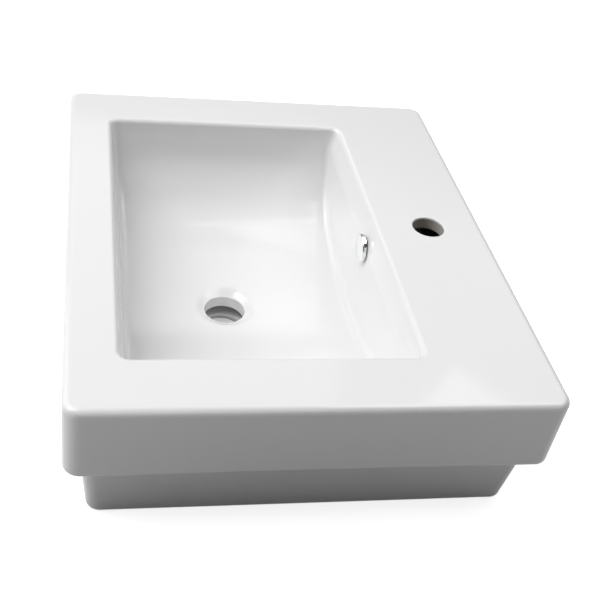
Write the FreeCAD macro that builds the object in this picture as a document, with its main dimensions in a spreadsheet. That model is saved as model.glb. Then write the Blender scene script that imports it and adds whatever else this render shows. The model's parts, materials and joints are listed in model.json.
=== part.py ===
import FreeCAD, Part
import math
import os
import Sketcher
from FreeCAD import Placement, Rotation, Vector

# A basin that is half sunk into a worktop. Millimetres, +Z up, X along the width, -Y the front where a
# person stands and +Y the tap deck. The origin is the middle of the flat base, on the base.
# The thick apron round the rim stands on the worktop and the narrower skirt below it drops into the cut-out.

SIZES = (
    # outside
    ("overall_width", 560.0, "apron, end to end"),
    ("overall_depth", 460.0, "apron, front to back"),
    ("apron_height", 80.0, "from the worktop ledge to the rim"),
    ("skirt_height", 75.0, "from the base to the worktop ledge"),
    ("ledge_width", 15.0, "the ledge that rests on the worktop, all round"),
    ("skirt_inset", 6.0, "how far each skirt face leans in from the ledge to the base"),
    ("apron_corner_radius", 16.0, "upright corners of the apron"),
    ("skirt_corner_radius", 14.0, "upright corners of the skirt"),
    ("rim_edge_radius", 7.0, "top outer edge of the apron"),
    ("apron_lower_radius", 3.0, "lower outer edge of the apron"),
    ("base_edge_radius", 6.0, "lower edge of the skirt"),
    ("end_arch_rise", 3.5, "rise of the apron's lower edge in the middle of each end"),
    # shell
    ("wall_thickness", 10.0, "apron, skirt, bowl and partition"),
    ("deck_thickness", 14.0, "the flat top"),
    ("base_thickness", 6.5, "the plate under the bowl"),
    ("rear_passage", 14.0, "wet gap behind the bowl that the overflow empties into"),
    # bowl
    ("end_margin", 68.0, "end of the apron to the bowl's end wall, at the rim"),
    ("front_margin", 50.0, "front of the apron to the bowl's front wall, at the rim"),
    ("rear_deck", 126.0, "back of the apron to the bowl's rear wall, at the rim"),
    ("bowl_depth", 118.5, "rim to the middle of the floor"),
    ("end_wall_lean", 15.0, "how far an end wall leans in between the rim and the floor's end"),
    ("front_wall_lean", 13.0, "how far the front wall leans in over the bowl's depth"),
    ("rear_shoulder_drop", 24.0, "rim to the line where the sloping shoulder meets the rear wall"),
    ("rear_shoulder_lean", 7.0, "how far the shoulder leans in over that drop"),
    ("rear_shoulder_radius", 45.0, "soft bend between the shoulder and the rear wall"),
    ("rear_wall_lean", 1.0, "how far the rear wall leans in below its shoulder"),
    ("floor_rise", 44.0, "how much higher the floor is at its ends than in the middle"),
    ("end_foot_radius", 110.0, "hollow between an end wall and the floor"),
    ("front_foot_radius", 9.0, "hollow round the front wall"),
    ("rear_foot_radius", 10.0, "hollow round the rear wall"),
    ("bowl_lip_radius", 6.0, "rounded edge where the bowl meets the deck"),
    # holes
    ("tap_hole_diameter", 36.0, "through the deck"),
    ("tap_setback", 64.0, "back of the apron to the tap hole's axis"),
    ("waste_hole_diameter", 46.0, "through the floor and the base plate"),
    ("waste_from_front", 178.0, "front of the apron to the waste hole's axis"),
    ("waste_dish_diameter", 64.0, "recess that takes the flange of a waste"),
    ("waste_dish_depth", 4.0, "depth of that recess at the hole"),
    ("waste_seat_thickness", 14.0, "ceramic under the recess"),
    ("waste_boss_diameter", 92.0, "thick ring under the floor round the waste hole"),
    ("waste_seat_width", 2.0, "flat ring at the bottom of the recess, round the hole"),
    ("dish_edge_radius", 8.0, "soft outer edge of the recess"),
    ("hole_edge_radius", 1.5, "glazed edge of the tap, waste and overflow holes"),
    ("overflow_hole_diameter", 24.0, "through the rear wall"),
    ("overflow_drop", 31.0, "rim to the overflow hole's centre on the rear wall"),
    # overflow fitting
    ("cap_diameter", 32.0, "the round cap"),
    ("cap_edge_height", 4.0, "straight side of the cap with its rounded edge"),
    ("cap_dome_rise", 1.2, "how much the cap's face swells"),
    ("cap_edge_radius", 1.6, "outer edge of the cap's face"),
    ("cap_wall", 1.2, "thickness of the cap"),
    ("cap_standoff", 1.6, "open gap between the cap and the wall for the water"),
    ("carrier_plate_thickness", 2.0, "disc that the cap is clipped on to"),
    ("carrier_plate_clearance", 0.05, "radial, between the disc and the inside of the cap"),
    ("leg_length", 17.0, "from the disc to the tip"),
    ("leg_width", 4.0, "along the circle"),
    ("leg_thickness", 1.6, "along the radius"),
    ("ring_length", 9.0, "soft ring in the overflow hole"),
    ("ring_wall", 1.6, "thickness of that ring"),
    ("ring_setback", 3.5, "wall face to the ring"),
    ("ring_hole_clearance", 0.05, "radial, between the ring and the overflow hole"),
    ("ring_leg_clearance", 0.3, "radial, between the ring and the carrier's legs"),
)

LEG_COUNT = 3

# Places that follow from the sizes, as formulas of the sheet they are kept in.
PLACES = (
    ("total_height", "=Sizes.skirt_height + Sizes.apron_height"),
    ("half_width", "=Sizes.overall_width / 2"),
    ("half_depth", "=Sizes.overall_depth / 2"),
    ("ledge_half_width", "=half_width - Sizes.ledge_width"),
    ("ledge_half_depth", "=half_depth - Sizes.ledge_width"),
    ("hollow_half_width", "=ledge_half_width - Sizes.skirt_inset - Sizes.wall_thickness"),
    ("hollow_half_depth", "=ledge_half_depth - Sizes.skirt_inset - Sizes.wall_thickness"),
    ("apron_hollow_half_width", "=half_width - Sizes.wall_thickness"),
    ("apron_hollow_half_depth", "=half_depth - Sizes.wall_thickness"),
    ("deck_underside", "=total_height - Sizes.deck_thickness"),
    ("ledge_topside", "=Sizes.skirt_height + Sizes.wall_thickness"),
    ("bowl_half_length", "=half_width - Sizes.end_margin"),
    ("bowl_front", "=Sizes.front_margin - half_depth"),
    ("bowl_rear", "=half_depth - Sizes.rear_deck"),
    ("floor_middle", "=total_height - Sizes.bowl_depth"),
    ("floor_end", "=floor_middle + Sizes.floor_rise"),
    ("floor_half_length", "=bowl_half_length - Sizes.end_wall_lean"),
    ("floor_arc_radius", "=(floor_half_length ^ 2 + Sizes.floor_rise ^ 2) / (2 * Sizes.floor_rise)"),
    ("shell_half_length", "=bowl_half_length + Sizes.wall_thickness"),
    ("shell_floor_half_length", "=floor_half_length + Sizes.wall_thickness"),
    ("shell_front", "=bowl_front - Sizes.wall_thickness"),
    ("rear_shoulder", "=bowl_rear - Sizes.rear_shoulder_lean"),
    ("shoulder_height", "=total_height - Sizes.rear_shoulder_drop"),
    ("shell_rear", "=(bowl_rear + rear_shoulder) / 2 + Sizes.wall_thickness"),
    ("shell_bottom", "=floor_middle - Sizes.wall_thickness"),
    ("shell_end", "=floor_end - Sizes.wall_thickness"),
    ("shell_arc_radius",
     "=(shell_floor_half_length ^ 2 + Sizes.floor_rise ^ 2) / (2 * Sizes.floor_rise)"),
    ("shell_top", "=total_height - Sizes.deck_thickness / 2"),
    ("shell_foot_radius", "=Sizes.end_foot_radius + Sizes.wall_thickness"),
    ("wall_foot", "=floor_middle - Sizes.wall_thickness / 2"),
    ("front_wall_foot", "=bowl_front + Sizes.front_wall_lean"),
    ("rear_wall_foot", "=rear_shoulder - Sizes.rear_wall_lean"),
    ("partition_front", "=shell_rear + Sizes.rear_passage"),
    ("partition_rear", "=partition_front + Sizes.wall_thickness"),
    ("tap_axis", "=half_depth - Sizes.tap_setback"),
    ("waste_axis", "=Sizes.waste_from_front - half_depth"),
    ("waste_radius", "=Sizes.waste_hole_diameter / 2"),
    ("dish_radius", "=Sizes.waste_dish_diameter / 2"),
    ("seat_radius", "=waste_radius + Sizes.waste_seat_width"),
    ("dish_mouth_radius", "=2 * dish_radius - seat_radius"),
    ("dish_mouth", "=floor_middle + Sizes.waste_dish_depth"),
    ("dish_bottom", "=floor_middle - Sizes.waste_dish_depth"),
    ("boss_radius", "=Sizes.waste_boss_diameter / 2"),
    ("boss_bottom", "=dish_bottom - Sizes.waste_seat_thickness"),
    ("rear_wall_tilt", "=atan(Sizes.rear_wall_lean / (shoulder_height - wall_foot))"),
    ("overflow_height", "=total_height - Sizes.overflow_drop"),
    ("overflow_face",
     "=rear_shoulder - (Sizes.overflow_drop - Sizes.rear_shoulder_drop) * tan(rear_wall_tilt)"),
    ("overflow_wall", "=(shell_rear - overflow_face) / cos(rear_wall_tilt)"),
    ("overflow_hole_length", "=overflow_wall + Sizes.rear_passage / 2"),
    ("overflow_hole_radius", "=Sizes.overflow_hole_diameter / 2"),
    ("ring_outer_radius", "=overflow_hole_radius - Sizes.ring_hole_clearance"),
    ("ring_inner_radius", "=ring_outer_radius - Sizes.ring_wall"),
    ("ring_front", "=-Sizes.ring_setback"),
    ("leg_half_width", "=Sizes.leg_width / 2"),
    ("leg_corner_radius", "=ring_inner_radius - Sizes.ring_leg_clearance"),
    ("leg_outer_reach", "=sqrt(leg_corner_radius ^ 2 - leg_half_width ^ 2)"),
    ("leg_inner_reach", "=leg_outer_reach - Sizes.leg_thickness"),
    ("cap_radius", "=Sizes.cap_diameter / 2"),
    ("cap_bore_radius", "=cap_radius - Sizes.cap_wall"),
    ("cap_back", "=Sizes.cap_standoff"),
    ("cap_shoulder", "=cap_back + Sizes.cap_edge_height"),
    ("cap_crown", "=cap_shoulder + Sizes.cap_dome_rise"),
    ("cap_inside", "=cap_shoulder - Sizes.cap_wall"),
    ("plate_radius", "=cap_bore_radius - Sizes.carrier_plate_clearance"),
    ("plate_back", "=cap_inside - Sizes.carrier_plate_thickness"),
    ("cap_dome_radius", "=(cap_radius ^ 2 + Sizes.cap_dome_rise ^ 2) / (2 * Sizes.cap_dome_rise)"),
    ("tap_radius", "=Sizes.tap_hole_diameter / 2"),
    ("arch_half_span", "=ledge_half_depth - Sizes.skirt_corner_radius"),
    ("arch_radius", "=(arch_half_span ^ 2 + Sizes.end_arch_rise ^ 2) / (2 * Sizes.end_arch_rise)"),
)

# How closely an edge or face is matched when it is looked up, in millimetres.
EXACT = 1e-4
CLOSE = 1e-2
ROUGH = 1.0

doc = FreeCAD.newDocument("semi_recessed_basin")


# ---------------------------------------------------------------- sheets

def make_sheet(name, rows):
    sheet = doc.addObject("Spreadsheet::Sheet", name)
    for row, (alias, content, *note) in enumerate(rows, start=1):
        sheet.set(f"A{row}", alias)
        sheet.set(f"B{row}", str(content))
        sheet.setAlias(f"B{row}", alias)
        sheet.set(f"C{row}", note[0] if note else "")
    return sheet


sizes = make_sheet("Sizes", SIZES)
places = make_sheet("Places", PLACES)
doc.recompute()
SIZE_NAMES = {row[0] for row in SIZES}


def value(word):
    """The number behind a size or place; a leading minus sign turns it round and "0" is zero."""
    if word == "0":
        return 0.0
    if word.startswith("-"):
        return -value(word[1:])
    number = getattr(sizes if word in SIZE_NAMES else places, word)
    return number.Value if hasattr(number, "Value") else float(number)


def formula(word):
    """The same word as an expression of the sheets."""
    if word == "0":
        return "0"
    if word.startswith("-"):
        return "-" + formula(word[1:])
    return ("Sizes." if word in SIZE_NAMES else "Places.") + word


def bind(thing, **properties):
    for name, word in properties.items():
        thing.setExpression(name, formula(word))


# ---------------------------------------------------------------- sketches and features

def make_body(label):
    body = doc.addObject("PartDesign::Body", label)
    body.Label = label
    return body


def make_sketch(body, name, plane, offset="0"):
    """An empty sketch on one of the body's own planes, moved along the plane's normal by a size or place."""
    sketch = body.newObject("Sketcher::SketchObject", name)
    base = next(feature for feature in body.Origin.OriginFeatures if feature.Role == plane)
    sketch.AttachmentSupport = [(base, "")]
    sketch.MapMode = "FlatFace"
    if offset != "0":
        sketch.setExpression("AttachmentOffset.Base.z", formula(offset))
    return sketch


def tie_point(sketch, edge, corner, x_word, y_word):
    """Holds one end of an edge at two sizes or places, measured from the sketch's origin."""
    for kind, word in (("DistanceX", x_word), ("DistanceY", y_word)):
        if word == "0":
            axis = -2 if kind == "DistanceX" else -1
            sketch.addConstraint(Sketcher.Constraint("PointOnObject", edge, corner, axis))
            continue
        index = sketch.addConstraint(Sketcher.Constraint(kind, -1, 1, edge, corner, value(word)))
        sketch.setExpression(f"Constraints[{index}]", formula(word))


def draw_outline(sketch, corners, arcs=()):
    """A closed outline through corners given as pairs of words. arcs maps a side's number to the word of
    its radius and to 1 or -1: such a side swells above or sags below the line between its corners."""
    arcs = dict(arcs)
    points = [Vector(value(x), value(y), 0) for x, y in corners]
    count = len(points)
    for side in range(count):
        start, end = points[side], points[(side + 1) % count]
        if side in arcs:
            word, way = arcs[side]
            radius = value(word)
            swell = radius - math.sqrt(radius ** 2 - (start.distanceToPoint(end) / 2) ** 2)
            along = (end - start).normalize()
            across = Vector(-along.y, along.x, 0) * way * math.copysign(1, along.x)
            sketch.addGeometry(Part.Arc(start, (start + end) / 2 + across * swell, end))
        else:
            sketch.addGeometry(Part.LineSegment(start, end))
    ends = {}
    for side in range(count):
        geometry = sketch.Geometry[side]
        start_first = geometry.StartPoint.distanceToPoint(points[side]) < EXACT
        ends[side] = (1, 2) if start_first else (2, 1)
    for side in range(count):
        following = (side + 1) % count
        sketch.addConstraint(
            Sketcher.Constraint("Coincident", side, ends[side][1], following, ends[following][0])
        )
    for side, (x_word, y_word) in enumerate(corners):
        tie_point(sketch, side, ends[side][0], x_word, y_word)
    for side, (word, _) in arcs.items():
        index = sketch.addConstraint(Sketcher.Constraint("Radius", side, value(word)))
        sketch.setExpression(f"Constraints[{index}]", formula(word))


def draw_box(sketch, left, right, low, high):
    draw_outline(sketch, ((left, low), (right, low), (right, high), (left, high)))


def draw_circle(sketch, radius, x_word="0", y_word="0"):
    centre = Vector(value(x_word), value(y_word), 0)
    circle = sketch.addGeometry(Part.Circle(centre, Vector(0, 0, 1), value(radius)))
    tie_point(sketch, circle, 3, x_word, y_word)
    index = sketch.addConstraint(Sketcher.Constraint("Radius", circle, value(radius)))
    sketch.setExpression(f"Constraints[{index}]", formula(radius))


def solid_volume(body):
    return body.Tip.Shape.Volume if body.Tip else 0.0


def finish_feature(feature, before):
    """Raises if the new feature adds or removes nothing."""
    doc.recompute()
    if near(feature.Shape.Volume, before, CLOSE):
        raise RuntimeError(feature.Label + " changed nothing")
    return feature


def sweep_sketch(body, kind, name, sketch, length, reverse=False, both_ways=False):
    """A Pad or a Pocket."""
    before = solid_volume(body)
    feature = body.newObject("PartDesign::" + kind, name)
    feature.Profile = sketch
    feature.Reversed = reverse
    if both_ways:
        feature.SideType = "Symmetric"
    feature.setExpression("Length", length)
    return finish_feature(feature, before)


def turn_sketch(body, kind, name, sketch):
    """A Revolution or a Groove about the sketch's upright axis."""
    before = solid_volume(body)
    feature = body.newObject("PartDesign::" + kind, name)
    feature.Profile = sketch
    feature.ReferenceAxis = (sketch, ["V_Axis"])
    feature.Angle = 360
    return finish_feature(feature, before)


def round_edges(body, name, radius, chosen):
    """A fillet on those edges of the body so far for which chosen(edge) holds."""
    tip = body.Tip
    names = [f"Edge{number}" for number, edge in enumerate(tip.Shape.Edges, start=1) if chosen(edge)]
    if not names:
        raise RuntimeError(name + " found no edge")
    fillet = body.newObject("PartDesign::Fillet", name)
    fillet.Base = (tip, names)
    bind(fillet, Radius=radius)
    doc.recompute()
    if "Invalid" in fillet.State:
        raise RuntimeError(name + " failed")
    return fillet


def between(low, number, high, slack=EXACT):
    return low - slack <= number <= high + slack


def near(number, target, slack=EXACT):
    return abs(number - target) <= slack


def middle(edge):
    first, last = edge.ParameterRange
    return edge.valueAt((first + last) / 2)


def is_upright(edge):
    """True for an edge that climbs much more than it runs sideways."""
    start, end = edge.valueAt(edge.FirstParameter), edge.valueAt(edge.LastParameter)
    sideways = math.hypot(end.x - start.x, end.y - start.y)
    return abs(end.z - start.z) > 4 * sideways


def is_level(edge, height):
    """True for an edge that lies all along at one height."""
    box = edge.BoundBox
    return near(box.ZMin, height, CLOSE) and near(box.ZMax, height, CLOSE)


def is_hole_edge(edge, height_word, radius_word):
    """True for a level circle, or nearly one, of that radius at that height."""
    wide = near(edge.BoundBox.XLength, 2 * value(radius_word), CLOSE)
    return wide and is_level(edge, value(height_word))


def is_dish_edge(edge):
    """True for the edge where the waste's recess meets the bowl's floor."""
    point = middle(edge)
    radius = math.hypot(point.x, point.y - value("waste_axis"))
    at_radius = between(value("dish_radius"), radius, value("dish_mouth_radius"), ROUGH)
    return at_radius and between(value("floor_middle"), point.z, value("dish_mouth"), ROUGH)


def is_wall_face(face, rim, foot):
    """True for a face of the front or rear wall, which runs the bowl's length between rim and foot."""
    box = face.BoundBox
    low, high = sorted((value(rim), value(foot)))
    inside = between(low, box.YMin, high) and between(low, box.YMax, high)
    return inside and box.YLength > CLOSE and box.XLength > value("bowl_half_length")


def outline_of(faces):
    """The edges round a group of faces, without those that two of the faces share."""
    edges = [edge for face in faces for edge in face.Edges]
    return [edge for edge in edges if sum(edge.isSame(other) for other in edges) == 1]


# ---------------------------------------------------------------- ceramic basin

def build_outside(body):
    """The apron, the skirt below it and their outer rounding."""
    sketch = make_sketch(body, "ApronSketch", "XY_Plane", "skirt_height")
    draw_box(sketch, "-half_width", "half_width", "-half_depth", "half_depth")
    sweep_sketch(body, "Pad", "Apron", sketch, "Sizes.apron_height")
    round_edges(body, "ApronCorners", "apron_corner_radius", is_upright)
    round_edges(
        body, "RimEdge", "rim_edge_radius", lambda edge: is_level(edge, value("total_height"))
    )
    round_edges(
        body, "ApronLowerEdge", "apron_lower_radius",
        lambda edge: is_level(edge, value("skirt_height")),
    )
    arches = (("RightArch", "ledge_half_width", True), ("LeftArch", "-ledge_half_width", False))
    for name, plane, reverse in arches:
        sketch = make_sketch(body, name + "Sketch", "YZ_Plane", plane)
        draw_outline(
            sketch, (("-arch_half_span", "skirt_height"), ("arch_half_span", "skirt_height")),
            arcs={1: ("arch_radius", 1)},
        )
        sweep_sketch(body, "Pocket", name, sketch, "Sizes.ledge_width", reverse=reverse)
    sketch = make_sketch(body, "SkirtSketch", "XY_Plane", "skirt_height")
    draw_box(sketch, "-ledge_half_width", "ledge_half_width", "-ledge_half_depth", "ledge_half_depth")
    skirt = sweep_sketch(body, "Pad", "Skirt", sketch, "Sizes.skirt_height", reverse=True)
    skirt.setExpression("TaperAngle", "-atan(Sizes.skirt_inset / Sizes.skirt_height)")
    doc.recompute()
    below = value("skirt_height") - ROUGH
    round_edges(
        body, "SkirtCorners", "skirt_corner_radius",
        lambda edge: is_upright(edge) and middle(edge).z < below,
    )
    round_edges(body, "BaseEdge", "base_edge_radius", lambda edge: is_level(edge, 0.0))


def build_hollow(body):
    """The double wall's inside: a wet hollow round the bowl and a dry one, open below, under the taps."""
    wet_height = "Places.deck_underside - Sizes.base_thickness"
    upper_height = "Places.deck_underside - Places.ledge_topside"
    sketch = make_sketch(body, "WetHollowSketch", "XY_Plane", "base_thickness")
    draw_box(sketch, "-hollow_half_width", "hollow_half_width", "-hollow_half_depth", "partition_front")
    sweep_sketch(body, "Pocket", "WetHollow", sketch, wet_height, reverse=True)
    sketch = make_sketch(body, "ApronHollowSketch", "XY_Plane", "ledge_topside")
    draw_box(
        sketch, "-apron_hollow_half_width", "apron_hollow_half_width",
        "-apron_hollow_half_depth", "partition_front",
    )
    sweep_sketch(body, "Pocket", "ApronHollow", sketch, upper_height, reverse=True)
    sketch = make_sketch(body, "TapHollowSketch", "XY_Plane")
    draw_box(sketch, "-hollow_half_width", "hollow_half_width", "partition_rear", "hollow_half_depth")
    sweep_sketch(body, "Pocket", "TapHollow", sketch, "Places.deck_underside", reverse=True)
    sketch = make_sketch(body, "TapApronHollowSketch", "XY_Plane", "ledge_topside")
    draw_box(
        sketch, "-apron_hollow_half_width", "apron_hollow_half_width",
        "partition_rear", "apron_hollow_half_depth",
    )
    sweep_sketch(body, "Pocket", "TapApronHollow", sketch, upper_height, reverse=True)


def build_bowl_shell(body):
    """The outside of the bowl, hung from the deck, before the bowl itself is cut into it."""
    sketch = make_sketch(body, "ShellSketch", "XZ_Plane", "-shell_rear")
    draw_outline(sketch, (
        ("-shell_floor_half_length", "shell_end"),
        ("shell_floor_half_length", "shell_end"),
        ("shell_half_length", "shell_top"),
        ("-shell_half_length", "shell_top"),
    ), arcs={0: ("shell_arc_radius", -1)})
    sweep_sketch(body, "Pad", "Shell", sketch, "Places.shell_rear - Places.shell_front")
    sketch = make_sketch(body, "WasteBossSketch", "XY_Plane", "boss_bottom")
    draw_circle(sketch, "boss_radius", "0", "waste_axis")
    sweep_sketch(body, "Pad", "WasteBoss", sketch, "Places.floor_middle - Places.boss_bottom")


def build_bowl(body):
    """The bowl: a trough cut from front to back, then a leaning wall put back at each side."""
    sketch = make_sketch(body, "BowlSketch", "XZ_Plane", "-bowl_rear")
    draw_outline(sketch, (
        ("-floor_half_length", "floor_end"),
        ("floor_half_length", "floor_end"),
        ("bowl_half_length", "total_height"),
        ("-bowl_half_length", "total_height"),
    ), arcs={0: ("floor_arc_radius", -1)})
    sweep_sketch(body, "Pocket", "Bowl", sketch, "Places.bowl_rear - Places.bowl_front", reverse=True)
    for name, radius, height, reach in (
        ("EndFoot", "end_foot_radius", "floor_end", "floor_half_length"),
        ("ShellFoot", "shell_foot_radius", "shell_end", "shell_floor_half_length"),
    ):
        round_edges(
            body, name, radius,
            lambda edge: is_level(edge, value(height)) and near(edge.BoundBox.XLength, 0, CLOSE)
            and near(abs(middle(edge).x), value(reach), CLOSE),
        )
    for side, rim, foot, radius, bends in (
        ("Front", "bowl_front", "front_wall_foot", "front_foot_radius", ()),
        ("Rear", "bowl_rear", "rear_wall_foot", "rear_foot_radius",
         (("rear_shoulder", "shoulder_height"),)),
    ):
        sketch = make_sketch(body, side + "WallSketch", "YZ_Plane")
        draw_outline(
            sketch, ((rim, "total_height"), (rim, "wall_foot"), (foot, "wall_foot"), *bends)
        )
        sweep_sketch(
            body, "Pad", side + "Wall", sketch, "2 * Places.bowl_half_length", both_ways=True
        )
        if bends:
            round_edges(
                body, "RearShoulder", "rear_shoulder_radius",
                lambda edge: is_level(edge, value("shoulder_height"))
                and near(middle(edge).y, value("rear_shoulder"), CLOSE),
            )
        wall = [face for face in body.Tip.Shape.Faces if is_wall_face(face, rim, foot)]
        outline = [edge for edge in outline_of(wall) if not is_level(edge, value("total_height"))]
        round_edges(
            body, side + "Foot", radius,
            lambda edge: any(edge.isSame(known) for known in outline),
        )
    round_edges(
        body, "BowlLip", "bowl_lip_radius",
        lambda edge: is_level(edge, value("total_height"))
        and between(-value("bowl_half_length"), middle(edge).x, value("bowl_half_length"), ROUGH)
        and between(value("bowl_front"), middle(edge).y, value("bowl_rear"), ROUGH),
    )


def build_holes(body):
    """Tap hole, waste hole with its recess and overflow hole."""
    sketch = make_sketch(body, "TapHoleSketch", "XY_Plane", "total_height")
    draw_circle(sketch, "tap_radius", "0", "tap_axis")
    sweep_sketch(body, "Pocket", "TapHole", sketch, "Sizes.deck_thickness")
    round_edges(
        body, "TapHoleEdge", "hole_edge_radius",
        lambda edge: is_hole_edge(edge, "total_height", "tap_radius"),
    )

    sketch = make_sketch(body, "WasteDishSketch", "XZ_Plane", "-waste_axis")
    draw_outline(sketch, (
        ("0", "dish_bottom"), ("seat_radius", "dish_bottom"),
        ("dish_mouth_radius", "dish_mouth"), ("0", "dish_mouth"),
    ))
    turn_sketch(body, "Groove", "WasteDish", sketch)
    round_edges(body, "WasteDishEdge", "dish_edge_radius", is_dish_edge)
    sketch = make_sketch(body, "WasteHoleSketch", "XY_Plane")
    draw_circle(sketch, "waste_radius", "0", "waste_axis")
    sweep_sketch(body, "Pocket", "WasteHole", sketch, "Places.floor_middle", reverse=True)
    round_edges(
        body, "WasteHoleEdge", "hole_edge_radius",
        lambda edge: is_hole_edge(edge, "dish_bottom", "waste_radius"),
    )

    sketch = make_sketch(body, "OverflowHoleSketch", "XZ_Plane")
    sketch.AttachmentOffset = Placement(
        Vector(0, value("overflow_height"), -value("overflow_face")),
        Rotation(Vector(1, 0, 0), -value("rear_wall_tilt")),
    )
    sketch.setExpression("AttachmentOffset.Base.y", "Places.overflow_height")
    sketch.setExpression("AttachmentOffset.Base.z", "-Places.overflow_face")
    draw_circle(sketch, "overflow_hole_radius")
    sweep_sketch(body, "Pocket", "OverflowHole", sketch, "Places.overflow_hole_length")


def build_basin():
    body = make_body("ceramic_basin")
    build_outside(body)
    build_hollow(body)
    build_bowl_shell(body)
    build_bowl(body)
    build_holes(body)
    return body


# ---------------------------------------------------------------- overflow fitting
# Each piece is drawn upright, with the wall's face at zero, and then laid on the hole's axis.

def lay_on_hole(body):
    turn = Rotation(Vector(1, 0, 0), 90 - value("rear_wall_tilt"))
    body.Placement = Placement(Vector(0, value("overflow_face"), value("overflow_height")), turn)
    body.setExpression("Placement.Base.y", "Places.overflow_face")
    body.setExpression("Placement.Base.z", "Places.overflow_height")
    return body


def build_cap():
    """The round metal cap: a shallow cup with a slightly swollen face."""
    body = make_body("overflow_cap")
    sketch = make_sketch(body, "CapSketch", "XZ_Plane")
    draw_outline(sketch, (
        ("0", "cap_inside"), ("cap_bore_radius", "cap_inside"), ("cap_bore_radius", "cap_back"),
        ("cap_radius", "cap_back"), ("cap_radius", "cap_shoulder"), ("0", "cap_crown"),
    ), arcs={4: ("cap_dome_radius", 1)})
    turn_sketch(body, "Revolution", "Cap", sketch)
    shoulder = value("cap_shoulder")
    round_edges(body, "CapEdge", "cap_edge_radius", lambda edge: is_level(edge, shoulder))
    return lay_on_hole(body)


def build_carrier():
    """The plastic disc inside the cap, with three legs that reach into the overflow hole."""
    body = make_body("overflow_cap_carrier")
    sketch = make_sketch(body, "PlateSketch", "XY_Plane", "cap_inside")
    draw_circle(sketch, "plate_radius")
    sweep_sketch(body, "Pad", "Plate", sketch, "Sizes.carrier_plate_thickness", reverse=True)
    sketch = make_sketch(body, "LegSketch", "XY_Plane", "plate_back")
    draw_box(sketch, "leg_inner_reach", "leg_outer_reach", "-leg_half_width", "leg_half_width")
    leg = sweep_sketch(body, "Pad", "Leg", sketch, "Sizes.leg_length", reverse=True)
    pattern = body.newObject("PartDesign::PolarPattern", "Legs")
    pattern.Originals = [leg]
    pattern.Axis = (sketch, ["N_Axis"])
    pattern.Angle = 360
    pattern.Occurrences = LEG_COUNT
    body.Tip = pattern
    doc.recompute()
    return lay_on_hole(body)


def build_ring():
    """The soft ring that lines the overflow hole and holds the carrier's legs."""
    body = make_body("overflow_ring")
    sketch = make_sketch(body, "RingSketch", "XY_Plane", "ring_front")
    draw_circle(sketch, "ring_outer_radius")
    draw_circle(sketch, "ring_inner_radius")
    sweep_sketch(body, "Pad", "Ring", sketch, "Sizes.ring_length", reverse=True)
    return lay_on_hole(body)


# ---------------------------------------------------------------- build, check and write

def check_document():
    for thing in doc.Objects:
        if "Invalid" in thing.State or "Error" in thing.State:
            raise RuntimeError(f"{thing.Label} did not build: {thing.State}")


def write_piece(body):
    shape = body.Shape
    if shape.isNull() or not shape.isValid() or len(shape.Solids) != 1:
        raise RuntimeError(body.Label + " is not one valid solid")
    shape.exportStep(f"parts/{body.Label}.step")
    print(f"{body.Label}: {shape.Volume / 1000:.1f} cm3")


def main():
    pieces = [build_basin(), build_ring(), build_carrier(), build_cap()]
    doc.recompute()
    check_document()
    os.makedirs("parts", exist_ok=True)
    for piece in pieces:
        write_piece(piece)


main()
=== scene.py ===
import json
from math import cos, radians, sin

import bpy
from bpy.props import FloatProperty, FloatVectorProperty, PointerProperty
from mathutils import Matrix, Vector


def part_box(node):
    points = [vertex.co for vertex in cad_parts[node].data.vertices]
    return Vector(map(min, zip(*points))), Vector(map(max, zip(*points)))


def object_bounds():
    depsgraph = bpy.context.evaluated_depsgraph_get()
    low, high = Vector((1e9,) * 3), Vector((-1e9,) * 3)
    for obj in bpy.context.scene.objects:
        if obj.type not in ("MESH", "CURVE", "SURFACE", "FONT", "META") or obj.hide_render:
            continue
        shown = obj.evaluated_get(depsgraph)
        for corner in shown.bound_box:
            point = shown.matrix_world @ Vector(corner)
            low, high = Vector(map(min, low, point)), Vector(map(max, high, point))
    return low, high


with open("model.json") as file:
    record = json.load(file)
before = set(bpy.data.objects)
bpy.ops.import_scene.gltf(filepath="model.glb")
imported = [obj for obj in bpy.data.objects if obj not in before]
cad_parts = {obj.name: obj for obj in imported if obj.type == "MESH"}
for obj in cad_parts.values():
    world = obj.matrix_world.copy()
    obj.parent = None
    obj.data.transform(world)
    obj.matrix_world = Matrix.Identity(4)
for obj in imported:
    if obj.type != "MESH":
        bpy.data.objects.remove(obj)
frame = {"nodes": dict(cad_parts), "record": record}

bl_info = {
    "name": "Semi Recessed Basin",
    "version": (1, 0, 0),
    "blender": (4, 5, 0),
    "location": "View3D > Sidebar > Basin",
    "description": "Finishes a glazed basin and its overflow fitting, and sets the studio round them",
    "category": "Add Mesh",
}

CAD_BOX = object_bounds()
MM = 0.001


# ---------------------------------------------------------------- sizes and colours

class GlazeSettings(bpy.types.PropertyGroup):
    """The fired glaze, and the bare clay where a basin isn't glazed."""

    colour: FloatVectorProperty(
        name="Glaze", description="Colour of the glaze", subtype="COLOR", size=3,
        min=0, max=1, default=(0.86, 0.86, 0.86),
    )
    roughness: FloatProperty(
        name="Roughness", description="Roughness of the glaze", default=0.06, min=0, max=1,
    )
    wave_length: FloatProperty(
        name="Wave length", description="From crest to crest of the glaze's slow waves",
        unit="LENGTH", default=0.11, min=0.001,
    )
    wave_height: FloatProperty(
        name="Wave height", description="Height of the slow waves", unit="LENGTH",
        default=0.0005, min=0,
    )
    dimple_length: FloatProperty(
        name="Dimple length", description="Size of the fine dimples", unit="LENGTH",
        default=0.004, min=0.0001,
    )
    dimple_height: FloatProperty(
        name="Dimple height", description="Depth of the fine dimples", unit="LENGTH",
        default=0.000004, min=0,
    )
    clay_colour: FloatVectorProperty(
        name="Bare clay", description="Colour of the unglazed clay", subtype="COLOR", size=3,
        min=0, max=1, default=(0.50, 0.47, 0.43),
    )


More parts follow.
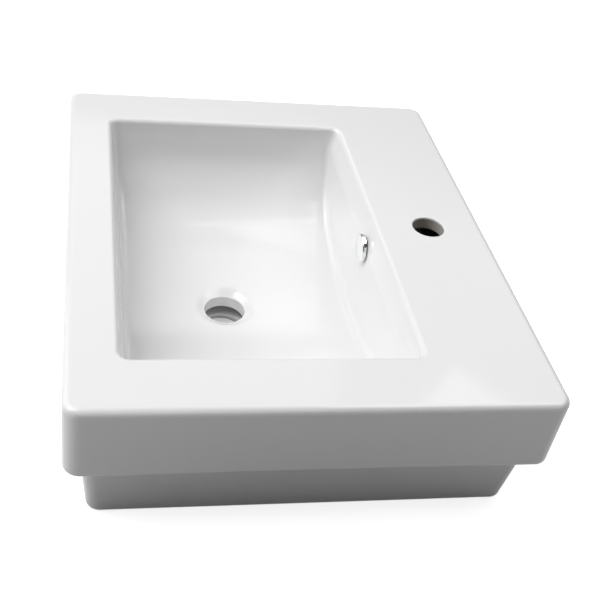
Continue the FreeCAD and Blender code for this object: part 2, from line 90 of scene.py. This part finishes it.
class FittingSettings(bpy.types.PropertyGroup):
    """The overflow's metal, plastic and rubber."""

    chrome_colour: FloatVectorProperty(
        name="Chrome", description="Colour of the plated cap", subtype="COLOR", size=3,
        min=0, max=1, default=(0.88, 0.89, 0.90),
    )
    plastic_colour: FloatVectorProperty(
        name="Carrier", description="Colour of the cap's plastic carrier", subtype="COLOR", size=3,
        min=0, max=1, default=(0.78, 0.78, 0.76),
    )
    rubber_colour: FloatVectorProperty(
        name="Ring", description="Colour of the soft ring", subtype="COLOR", size=3,
        min=0, max=1, default=(0.06, 0.06, 0.065),
    )


class StudioSettings(bpy.types.PropertyGroup):
    """Camera, lamps and floor."""

    camera_place: FloatVectorProperty(
        name="Camera", description="Where the camera stands", subtype="TRANSLATION", size=3,
        default=(0.8417, -0.2139, 0.7439),
    )
    camera_heading: FloatProperty(
        name="Heading", description="Turn of the view from the basin's end towards its back",
        subtype="ANGLE", default=radians(14.23),
    )
    camera_tilt: FloatProperty(
        name="Tilt", description="How far the camera looks down", subtype="ANGLE",
        default=radians(38.75),
    )
    camera_roll: FloatProperty(
        name="Roll", description="Roll of the camera about its view", subtype="ANGLE",
        default=radians(-9.46),
    )
    lens_ratio: FloatProperty(
        name="Lens ratio", description="Focal length over the sensor's width", default=1.607,
        min=0.1,
    )
    frame_shift: FloatProperty(
        name="Shift", description="Sideways shift of the frame, as a share of its width",
        default=0.05,
    )
    light: FloatProperty(
        name="Light", description="Power of all the lamps together", unit="POWER", default=188,
        min=0,
    )
    ambient: FloatProperty(
        name="Ambient", description="Strength of the even light from all round", default=0.01, min=0,
    )
    floor_shade: FloatProperty(
        name="Floor shade", description="How much light the floor gives back to the basin",
        default=0.6, min=0, max=1,
    )
    floor_dark: FloatProperty(
        name="Floor close by", description="The same for the floor close round the basin",
        default=0.15, min=0, max=1,
    )


# ---------------------------------------------------------------- node helpers

def add_node(tree, kind, place=(0, 0), **values):
    """A shader or geometry node; keys are its own properties, or input sockets by name."""
    node = tree.nodes.new(kind)
    node.location = place
    for key, value in values.items():
        if hasattr(node, key):
            setattr(node, key, value)
        else:
            node.inputs[key.replace("_", " ").title()].default_value = value
    return node


def new_material(name):
    """An empty material with a Principled shader joined to its output."""
    material = bpy.data.materials.new(name)
    material.use_nodes = True
    tree = material.node_tree
    tree.nodes.clear()
    output = add_node(tree, "ShaderNodeOutputMaterial", (900, 0))
    shader = add_node(tree, "ShaderNodeBsdfPrincipled", (600, 0))
    tree.links.new(shader.outputs["BSDF"], output.inputs["Surface"])
    return material, tree, shader


def new_group(name, inputs, outputs):
    """A shader group with inputs, as {name: default} or None for a vector, and outputs, as {name: kind}."""
    group = bpy.data.node_groups.new(name, "ShaderNodeTree")
    for word, default in inputs.items():
        kind = "NodeSocketVector" if default is None else "NodeSocketFloat"
        socket = group.interface.new_socket(word, in_out="INPUT", socket_type=kind)
        if default is not None:
            socket.default_value = default
    for word, kind in outputs.items():
        group.interface.new_socket(word, in_out="OUTPUT", socket_type=kind)
    entry = add_node(group, "NodeGroupInput", (-800, 0))
    leave = add_node(group, "NodeGroupOutput", (800, 0))
    return group, entry, leave


def place_group(tree, group, place, **values):
    node = tree.nodes.new("ShaderNodeGroup")
    node.node_tree = group
    node.location = place
    for word, value in values.items():
        node.inputs[word.replace("_", " ").capitalize()].default_value = value
    return node


def math_node(tree, operation, first, second=None, place=(0, 0)):
    """A Math node; first and second are sockets or numbers. Gives its output socket."""
    node = add_node(tree, "ShaderNodeMath", place, operation=operation)
    for index, source in enumerate((first, second)):
        if source is None:
            continue
        if isinstance(source, bpy.types.NodeSocket):
            tree.links.new(source, node.inputs[index])
        else:
            node.inputs[index].default_value = source
    return node.outputs[0]


def map_range(tree, value, start, end, place, smooth=True):
    """A number between the two of end, as value goes between the two of start."""
    node = add_node(tree, "ShaderNodeMapRange", place)
    if smooth:
        node.interpolation_type = "SMOOTHSTEP"
    node.inputs["From Min"].default_value, node.inputs["From Max"].default_value = start
    node.inputs["To Min"].default_value, node.inputs["To Max"].default_value = end
    tree.links.new(value, node.inputs["Value"])
    return node.outputs[0]


# ---------------------------------------------------------------- places taken from the frame

def mount(name):
    return next(row for row in frame["record"]["mounts"] if row["name"] == name)


def mount_place(name):
    return Vector(mount(name)["pos_m"])


def mount_radius(name):
    return mount(name)["dims"]["r_mm"] * MM


# ---------------------------------------------------------------- materials

# Millimetres. Where the glaze stops. The hollow's limits lie up to half a millimetre past the CAD faces, so
# that the faces are inside them.
BASE_CLAY = 0.4
TAP_GLAZE_DROP = 2.5
DECK_WALL = 5.75
PARTITION_BACK = 134.0
HOLLOW_HALF_WIDTH = 249.5
HOLLOW_BACK = 199.5
LEDGE_TOP = 84.5
SHELL_SKIN = 9.5

# How much of a finish's colour its darker places keep.
GLAZE_SHADE = 0.985
CLAY_SHADE = 0.7
MOULDED_SHADE = 0.88

CLAY_ROUGHNESS = 0.85
CHROME_ROUGHNESS = (0.05, 0.11)
PLASTIC_ROUGHNESS = 0.4
RUBBER_ROUGHNESS = 0.7
MOULDED_SPREAD = 0.06


def box_mask_group():
    """1 inside an upright box given by its middle and half sizes, 0 outside it."""
    group, entry, leave = new_group(
        "Box mask",
        {"Position": None, "Middle": None, "Half size": None},
        {"Mask": "NodeSocketFloat"},
    )
    links = group.links
    apart = add_node(group, "ShaderNodeVectorMath", (-600, 0), operation="SUBTRACT")
    links.new(entry.outputs["Position"], apart.inputs[0])
    links.new(entry.outputs["Middle"], apart.inputs[1])
    away = add_node(group, "ShaderNodeVectorMath", (-400, 0), operation="ABSOLUTE")
    links.new(apart.outputs[0], away.inputs[0])
    room = add_node(group, "ShaderNodeVectorMath", (-200, 0), operation="SUBTRACT")
    links.new(entry.outputs["Half size"], room.inputs[0])
    links.new(away.outputs[0], room.inputs[1])
    parts = add_node(group, "ShaderNodeSeparateXYZ", (0, 0))
    links.new(room.outputs[0], parts.inputs[0])
    least = math_node(group, "MINIMUM", parts.outputs[0], parts.outputs[1], (200, 0))
    least = math_node(group, "MINIMUM", least, parts.outputs[2], (400, 0))
    links.new(math_node(group, "GREATER_THAN", least, 0.0, (600, 0)), leave.inputs["Mask"])
    return group


def surface_waves_group():
    """Slow waves and fine dimples of a fired or moulded surface, as a height in metres."""
    group, entry, leave = new_group(
        "Surface waves",
        {"Position": None, "Wave length": 0.1, "Wave height": 0.0003,
         "Dimple length": 0.004, "Dimple height": 0.000004},
        {"Height": "NodeSocketFloat"},
    )
    total = None
    for row, word in enumerate(("Wave", "Dimple")):
        scale = math_node(group, "DIVIDE", 1.0, entry.outputs[word + " length"], (-500, -200 * row))
        noise = add_node(
            group, "ShaderNodeTexNoise", (-200, -200 * row), noise_dimensions="3D", Detail=1.0,
            Roughness=0.4,
        )
        group.links.new(entry.outputs["Position"], noise.inputs["Vector"])
        group.links.new(scale, noise.inputs["Scale"])
        height = math_node(
            group, "MULTIPLY", noise.outputs[0], entry.outputs[word + " height"], (100, -200 * row)
        )
        total = height if total is None else math_node(group, "ADD", total, height, (400, 0))
    group.links.new(total, leave.inputs["Height"])
    return group


def bump_from(tree, height_socket, shader, place):
    """Feeds a height in metres into the shader's normal."""
    bump = add_node(tree, "ShaderNodeBump", place)
    bump.inputs["Strength"].default_value = 1.0
    bump.inputs["Distance"].default_value = 1.0
    tree.links.new(height_socket, bump.inputs["Height"])
    tree.links.new(bump.outputs["Normal"], shader.inputs["Normal"])


def glaze_material(settings, box_mask, waves):
    """White glaze, with bare clay under the base, in the tap hole and in the hollow under it."""
    material, tree, shader = new_material("white_glaze")
    links = tree.links
    position = add_node(tree, "ShaderNodeTexCoord", (-1400, 0)).outputs["Object"]
    low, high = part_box("ceramic_basin")
    tap = mount_place("tap_hole")
    tap_radius = mount_radius("tap_hole")
    deck_wall = DECK_WALL * MM
    hollow_top = tap.z - deck_wall
    clay_boxes = (
        # under the base
        ((-1, -1, low.z - 1), (1, 1, low.z + BASE_CLAY * MM)),
        # the tap hole's wall, below its glazed edge
        ((tap.x - tap_radius - MM, tap.y - tap_radius - MM, hollow_top - MM),
         (tap.x + tap_radius + MM, tap.y + tap_radius + MM, high.z - TAP_GLAZE_DROP * MM)),
        # the hollow under the taps, between the skirt's walls and then between the apron's
        ((-HOLLOW_HALF_WIDTH * MM, PARTITION_BACK * MM, low.z - MM),
         (HOLLOW_HALF_WIDTH * MM, HOLLOW_BACK * MM, hollow_top)),
        ((low.x + SHELL_SKIN * MM, PARTITION_BACK * MM, LEDGE_TOP * MM),
         (high.x - SHELL_SKIN * MM, high.y - SHELL_SKIN * MM, hollow_top)),
    )
    mask = None
    for row, (lowest, highest) in enumerate(clay_boxes):
        lowest, highest = Vector(lowest), Vector(highest)
        node = place_group(
            tree, box_mask, (-1100, -220 * row),
            Middle=(lowest + highest) / 2, Half_size=(highest - lowest) / 2,
        )
        links.new(position, node.inputs["Position"])
        mask = node.outputs["Mask"] if mask is None else math_node(
            tree, "MAXIMUM", mask, node.outputs["Mask"], (-800, -220 * row)
        )
    tone = add_node(tree, "ShaderNodeTexNoise", (-1100, 300), Scale=9.0, Detail=2.0)
    links.new(position, tone.inputs["Vector"])
    glaze = add_node(tree, "ShaderNodeMix", (-500, 300), data_type="RGBA")
    glaze.inputs["A"].default_value = (*settings.colour, 1)
    glaze.inputs["B"].default_value = (*(GLAZE_SHADE * channel for channel in settings.colour), 1)
    links.new(tone.outputs[0], glaze.inputs["Factor"])
    grain = add_node(tree, "ShaderNodeTexNoise", (-1100, 600), Scale=420.0, Detail=4.0)
    links.new(position, grain.inputs["Vector"])
    clay = add_node(tree, "ShaderNodeMix", (-500, 600), data_type="RGBA")
    clay.inputs["A"].default_value = (*(CLAY_SHADE * channel for channel in settings.clay_colour), 1)
    clay.inputs["B"].default_value = (*settings.clay_colour, 1)
    links.new(grain.outputs[0], clay.inputs["Factor"])
    colour = add_node(tree, "ShaderNodeMix", (-200, 300), data_type="RGBA")
    links.new(mask, colour.inputs["Factor"])
    links.new(glaze.outputs["Result"], colour.inputs["A"])
    links.new(clay.outputs["Result"], colour.inputs["B"])
    links.new(colour.outputs["Result"], shader.inputs["Base Color"])
    rough = add_node(tree, "ShaderNodeMix", (-200, 0), data_type="FLOAT")
    rough.inputs["A"].default_value = settings.roughness
    rough.inputs["B"].default_value = CLAY_ROUGHNESS
    links.new(mask, rough.inputs["Factor"])
    links.new(rough.outputs["Result"], shader.inputs["Roughness"])
    surface = place_group(
        tree, waves, (-200, -300),
        Wave_length=settings.wave_length, Wave_height=settings.wave_height,
        Dimple_length=settings.dimple_length, Dimple_height=settings.dimple_height,
    )
    links.new(position, surface.inputs["Position"])
    bump_from(tree, surface.outputs["Height"], shader, (200, -300))
    return material


def chrome_material(settings, waves):
    """Plated and polished metal with a trace of water marks."""
    material, tree, shader = new_material("chrome_plate")
    shader.inputs["Base Color"].default_value = (*settings.chrome_colour, 1)
    shader.inputs["Metallic"].default_value = 1.0
    position = add_node(tree, "ShaderNodeTexCoord", (-900, 0)).outputs["Object"]
    spots = add_node(tree, "ShaderNodeTexNoise", (-600, 0), Scale=260.0, Detail=3.0)
    tree.links.new(position, spots.inputs["Vector"])
    rough = map_range(tree, spots.outputs[0], (0.0, 1.0), CHROME_ROUGHNESS, (-300, 0), smooth=False)
    tree.links.new(rough, shader.inputs["Roughness"])
    surface = place_group(
        tree, waves, (-300, -300), Wave_length=0.008, Wave_height=0.00001,
        Dimple_length=0.001, Dimple_height=0.0000005,
    )
    tree.links.new(position, surface.inputs["Position"])
    bump_from(tree, surface.outputs["Height"], shader, (200, -300))
    return material


def moulded_material(name, colour, roughness, waves):
    """Moulded plastic or rubber with a fine, slightly uneven skin."""
    material, tree, shader = new_material(name)
    position = add_node(tree, "ShaderNodeTexCoord", (-900, 0)).outputs["Object"]
    grain = add_node(tree, "ShaderNodeTexNoise", (-600, 0), Scale=500.0, Detail=3.0)
    tree.links.new(position, grain.inputs["Vector"])
    tone = add_node(tree, "ShaderNodeMix", (-300, 200), data_type="RGBA")
    tone.inputs["A"].default_value = (*colour, 1)
    tone.inputs["B"].default_value = (*(MOULDED_SHADE * channel for channel in colour), 1)
    tree.links.new(grain.outputs[0], tone.inputs["Factor"])
    tree.links.new(tone.outputs["Result"], shader.inputs["Base Color"])
    spread = (roughness - MOULDED_SPREAD, roughness + MOULDED_SPREAD)
    rough = map_range(tree, grain.outputs[0], (0.0, 1.0), spread, (-300, 0), smooth=False)
    tree.links.new(rough, shader.inputs["Roughness"])
    surface = place_group(
        tree, waves, (-300, -300), Wave_length=0.006, Wave_height=0.00002,
        Dimple_length=0.0006, Dimple_height=0.000004,
    )
    tree.links.new(position, surface.inputs["Position"])
    bump_from(tree, surface.outputs["Height"], shader, (200, -300))
    return material


# ---------------------------------------------------------------- pieces

def dress(node, material):
    """Gives a CAD node its material."""
    slots = frame["nodes"][node].data.materials
    slots.clear()
    slots.append(material)


class BASIN_OT_ceramic(bpy.types.Operator):
    """Glaze the basin"""

    bl_idname = "basin.ceramic"
    bl_label = "Ceramic basin"

    def execute(self, context):
        glaze = glaze_material(context.scene.basin_glaze, box_mask_group(), surface_waves_group())
        dress("ceramic_basin", glaze)
        return {"FINISHED"}


class BASIN_OT_overflow(bpy.types.Operator):
    """Finish the overflow's cap, carrier and ring"""

    bl_idname = "basin.overflow"
    bl_label = "Overflow fitting"

    def execute(self, context):
        settings = context.scene.basin_fitting
        waves = bpy.data.node_groups["Surface waves"]
        dress("overflow_cap", chrome_material(settings, waves))
        dress(
            "overflow_cap_carrier",
            moulded_material("white_plastic", settings.plastic_colour, PLASTIC_ROUGHNESS, waves),
        )
        dress(
            "overflow_ring",
            moulded_material("grey_rubber", settings.rubber_colour, RUBBER_ROUGHNESS, waves),
        )
        return {"FINISHED"}


# ---------------------------------------------------------------- studio

FLOOR_HALF_SIDE = 15.0

# What the floor gives off by itself: to the eye out in the open, to the eye under the middle of the basin,
# where it is lowered as painted shade, and to mirrors out in the open.
FLOOR_GLOW = 0.82
PAINTED_SHADE_GLOW_UNDER = 0.28
MIRRORED_GLOW = 0.46

# How much light the floor gives back to the eye and to mirrors.
SEEN_SHADE = 0.6

# Distances from the basin's middle, in half sizes of its box, between which the floor changes: in the light
# that it gives back to the basin, and in its glow, which is lowered under the basin as painted shade.
SHADE_REACH = (1.0, 2.2)
PAINTED_SHADE_GLOW_REACH = (0.6, 0.8)


def add_floor(settings):
    """A wide floor, white to the eye and greyer to the basin, with a faint shadow close under the basin,
    and painted shade where its glow is lowered under the basin's middle.
    """
    half = FLOOR_HALF_SIDE
    mesh = bpy.data.meshes.new("floor")
    corners = [(-half, -half, 0), (half, -half, 0), (half, half, 0), (-half, half, 0)]
    mesh.from_pydata(corners, [], [(0, 1, 2, 3)])
    floor = bpy.data.objects.new("floor", mesh)
    bpy.context.scene.collection.objects.link(floor)
    material = bpy.data.materials.new("studio_floor")
    material.use_nodes = True
    tree = material.node_tree
    tree.nodes.clear()
    output = add_node(tree, "ShaderNodeOutputMaterial", (900, 0))
    glossy = add_node(tree, "ShaderNodeLightPath", (-800, -300)).outputs["Is Glossy Ray"]
    eye = seen_rays(tree)
    seen = math_node(tree, "MAXIMUM", eye, glossy, (-300, 0))
    shaded = add_node(tree, "ShaderNodeBsdfDiffuse", (200, 0))
    position = add_node(tree, "ShaderNodeTexCoord", (-1000, 300)).outputs["Object"]
    scaled = add_node(tree, "ShaderNodeVectorMath", (-800, 300), operation="DIVIDE")
    scaled.inputs[1].default_value = (CAD_BOX[1].x, CAD_BOX[1].y, 1)
    tree.links.new(position, scaled.inputs[0])
    away = add_node(tree, "ShaderNodeVectorMath", (-600, 300), operation="LENGTH")
    tree.links.new(scaled.outputs[0], away.inputs[0])
    away = away.outputs["Value"]
    shades = (settings.floor_dark, settings.floor_shade)
    unseen = map_range(tree, away, SHADE_REACH, shades, (-400, 300))
    shade = add_node(tree, "ShaderNodeMix", (0, 0), data_type="FLOAT")
    shade.inputs["B"].default_value = SEEN_SHADE
    tree.links.new(unseen, shade.inputs["A"])
    tree.links.new(seen, shade.inputs["Factor"])
    tree.links.new(shade.outputs["Result"], shaded.inputs["Color"])
    glow = add_node(tree, "ShaderNodeEmission", (200, -200))
    glow.inputs["Color"].default_value = (1, 1, 1, 1)
    # Painted shade: the floor's glow is lowered under the basin's middle.
    under = map_range(tree, away, PAINTED_SHADE_GLOW_REACH, (PAINTED_SHADE_GLOW_UNDER, FLOOR_GLOW), (-400, -200))
    mirrored = math_node(tree, "MULTIPLY", glossy, MIRRORED_GLOW / FLOOR_GLOW, (-300, -600))
    share = math_node(tree, "MAXIMUM", eye, mirrored, (-100, -500))
    tree.links.new(math_node(tree, "MULTIPLY", share, under), glow.inputs["Strength"])
    both = add_node(tree, "ShaderNodeAddShader", (600, 0))
    tree.links.new(shaded.outputs[0], both.inputs[0])
    tree.links.new(glow.outputs[0], both.inputs[1])
    tree.links.new(both.outputs[0], output.inputs["Surface"])
    mesh.materials.append(material)


def seen_rays(tree):
    """1 for camera rays and those that pass through something clear, which show the background."""
    path = add_node(tree, "ShaderNodeLightPath", (-800, 0))
    return math_node(
        tree, "MAXIMUM", path.outputs["Is Camera Ray"], path.outputs["Is Transmission Ray"], (-500, 0)
    )


# Where the window's foot, top and front edge lie, and where it brightens from front to back, as parts of a
# direction of length 1.
WINDOW_FOOT = (0.45, 0.56)
WINDOW_TOP = (0.690, 0.704)
WINDOW_FRONT = (0.063, 0.073)
WINDOW_BREADTH_REACH = (0.0, 0.44)

# Its strengths: at the horizon, from front to back, and outside its top and front edges.
WINDOW_HORIZON = 0.25
WINDOW_BREADTH = (0.8, 1.4)
WINDOW_OUTSIDE = 0.75


def far_window(tree, direction):
    """The broad soft light that mirrors see beyond the far end: dim near the horizon, with a crisp
    top edge and front edge, and brighter towards the back."""
    parts = add_node(tree, "ShaderNodeSeparateXYZ", (-900, -700))
    tree.links.new(direction, parts.inputs[0])
    back, up = parts.outputs["Y"], parts.outputs["Z"]
    low = map_range(tree, up, WINDOW_FOOT, (WINDOW_HORIZON, 1.0), (-600, -600))
    broad = map_range(tree, back, WINDOW_BREADTH_REACH, WINDOW_BREADTH, (-600, -900), smooth=False)
    over = map_range(tree, up, WINDOW_TOP, (0.0, 1.0), (-600, -1200))
    front = map_range(tree, back, WINDOW_FRONT, (1.0, 0.0), (-600, -1500))
    outside = math_node(tree, "MAXIMUM", over, front, (-400, -1300))
    edge = map_range(tree, outside, (0.0, 1.0), (1.0, WINDOW_OUTSIDE), (-200, -1300), smooth=False)
    inside = math_node(tree, "MULTIPLY", low, broad, (-400, -700))
    return math_node(tree, "MULTIPLY", inside, edge, (-200, -700))


# The room's own colour, the bright side that mirrors see, the reach over which it fades to the other side,
# and the strength of that side.
ROOM_COLOUR = (0.8, 0.8, 0.8, 1.0)
BRIGHT_SIDE = (-0.95, 0.0, 0.3)
BRIGHT_REACH = (-0.3, 0.5)
DIM_SIDE = 0.08


def add_world(settings):
    """Pale grey to the eye. Mirrors see a bright far side and a dim near side; little of it lights."""
    world = bpy.data.worlds.new("studio")
    world.use_nodes = True
    tree = world.node_tree
    tree.nodes.clear()
    output = add_node(tree, "ShaderNodeOutputWorld", (900, 0))
    back = add_node(tree, "ShaderNodeBackground", (700, 0), Color=ROOM_COLOUR)
    direction = add_node(tree, "ShaderNodeTexCoord", (-900, -300)).outputs["Generated"]
    towards = add_node(tree, "ShaderNodeVectorMath", (-600, -300), operation="DOT_PRODUCT")
    towards.inputs[1].default_value = BRIGHT_SIDE
    tree.links.new(direction, towards.inputs[0])
    sides = map_range(tree, towards.outputs["Value"], BRIGHT_REACH, (DIM_SIDE, 1.0), (-300, -300))
    mirrored = math_node(tree, "MULTIPLY", sides, far_window(tree, direction), (-100, -300))
    glossy = add_node(tree, "ShaderNodeLightPath", (-300, 300)).outputs["Is Glossy Ray"]
    unseen = add_node(tree, "ShaderNodeMix", (0, 0), data_type="FLOAT")
    unseen.inputs["A"].default_value = settings.ambient
    tree.links.new(mirrored, unseen.inputs["B"])
    tree.links.new(glossy, unseen.inputs["Factor"])
    strength = add_node(tree, "ShaderNodeMix", (300, 0), data_type="FLOAT")
    strength.inputs["B"].default_value = 1.0
    tree.links.new(unseen.outputs["Result"], strength.inputs["A"])
    tree.links.new(seen_rays(tree), strength.inputs["Factor"])
    tree.links.new(strength.outputs["Result"], back.inputs["Strength"])
    tree.links.new(back.outputs[0], output.inputs["Surface"])
    bpy.context.scene.world = world


# name, place in metres, side in metres, share of the light
LAMPS = (
    ("front_lamp", (0.0, -1.8, 3.2), 2.0, 0.185),
    ("front_left_lamp", (-1.1, -1.5, 3.2), 2.0, 0.205),
    ("low_front_lamp", (0.0, -3.0, 2.1), 2.0, 0.18),
    ("low_left_lamp", (-1.8, -2.8, 1.4), 2.0, 0.12),
    ("back_lamp", (0.0, 1.8, 3.2), 2.0, 0.155),
    ("back_left_lamp", (-1.1, 1.5, 3.2), 2.0, 0.085),
    ("far_lamp", (-2.6, 0.0, 2.6), 2.0, 0.04),
    ("near_lamp", (2.6, 0.0, 2.6), 2.0, 0.03),
)


def add_lamp(settings, name, place, side, share):
    """A square soft lamp that faces the basin."""
    lamp = bpy.data.lights.new(name, "AREA")
    lamp.size = side
    lamp.energy = settings.light * share
    holder = bpy.data.objects.new(name, lamp)
    holder.location = place
    aim = (CAD_BOX[0] + CAD_BOX[1]) / 2
    holder.rotation_euler = (aim - Vector(place)).to_track_quat("-Z", "Y").to_euler()
    bpy.context.scene.collection.objects.link(holder)


# Light that comes up through the waste hole from below: side in metres, watts, height over the floor.
WASTE_LAMP_SIDE = 0.03
WASTE_LAMP_POWER = 0.0025
WASTE_LAMP_HEIGHT = 0.001


def add_waste_lamp():
    """A faint small lamp under the waste hole, which lights the hole's wall and isn't seen itself."""
    lamp = bpy.data.lights.new("waste_lamp", "AREA")
    lamp.shape = "DISK"
    lamp.size = WASTE_LAMP_SIDE
    lamp.energy = WASTE_LAMP_POWER
    holder = bpy.data.objects.new("waste_lamp", lamp)
    place = mount_place("waste_hole")
    holder.location = (place.x, place.y, WASTE_LAMP_HEIGHT)
    holder.rotation_euler = (radians(180), 0, 0)
    holder.visible_camera = False
    bpy.context.scene.collection.objects.link(holder)


def add_camera(settings):
    heading, tilt, roll = settings.camera_heading, settings.camera_tilt, settings.camera_roll
    forward = Vector((-cos(tilt) * cos(heading), cos(tilt) * sin(heading), -sin(tilt)))
    right = forward.cross(Vector((0, 0, 1))).normalized()
    down = forward.cross(right)
    right, down = cos(roll) * right + sin(roll) * down, cos(roll) * down - sin(roll) * right
    lens = bpy.data.cameras.new("camera")
    lens.lens = settings.lens_ratio * lens.sensor_width
    lens.shift_x = settings.frame_shift
    lens.clip_start = 0.01
    camera = bpy.data.objects.new("camera", lens)
    turn = Matrix((right, -down, -forward)).transposed().to_4x4()
    camera.matrix_world = Matrix.Translation(settings.camera_place) @ turn
    bpy.context.scene.collection.objects.link(camera)
    bpy.context.scene.camera = camera


class BASIN_OT_studio(bpy.types.Operator):
    """Set the floor, lamps and camera"""

    bl_idname = "basin.studio"
    bl_label = "Studio"

    def execute(self, context):
        settings = context.scene.basin_studio
        context.scene.view_settings.view_transform = "Standard"
        add_floor(settings)
        add_world(settings)
        for lamp in LAMPS:
            add_lamp(settings, *lamp)
        add_waste_lamp()
        add_camera(settings)
        return {"FINISHED"}


# ---------------------------------------------------------------- panel and registration

OPERATORS = (BASIN_OT_ceramic, BASIN_OT_overflow, BASIN_OT_studio)


class BASIN_PT_panel(bpy.types.Panel):
    """Buttons and settings in the 3D view's sidebar"""

    bl_label = "Basin"
    bl_space_type = "VIEW_3D"
    bl_region_type = "UI"
    bl_category = "Basin"

    def draw(self, context):
        layout = self.layout
        for operator in OPERATORS:
            layout.operator(operator.bl_idname)
        for word in SETTINGS:
            box = layout.box()
            settings = getattr(context.scene, word)
            for row in settings.bl_rna.properties:
                if row.identifier not in ("rna_type", "name"):
                    box.prop(settings, row.identifier)


SETTINGS = {
    "basin_glaze": GlazeSettings,
    "basin_fitting": FittingSettings,
    "basin_studio": StudioSettings,
}


def register():
    for kind in (*SETTINGS.values(), *OPERATORS, BASIN_PT_panel):
        bpy.utils.register_class(kind)
    for word, kind in SETTINGS.items():
        setattr(bpy.types.Scene, word, PointerProperty(type=kind))


def unregister():
    for word in SETTINGS:
        delattr(bpy.types.Scene, word)
    for kind in (BASIN_PT_panel, *OPERATORS, *SETTINGS.values()):
        bpy.utils.unregister_class(kind)


def call(operator):
    """Runs an operator through bpy.ops, and stops the script if it is cancelled."""
    module, name = operator.bl_idname.split(".")
    if getattr(getattr(bpy.ops, module), name)() != {"FINISHED"}:
        raise RuntimeError(operator.bl_label + " was cancelled")


def main():
    register()
    for operator in OPERATORS:
        call(operator)


if __name__ == "__main__":
    main()
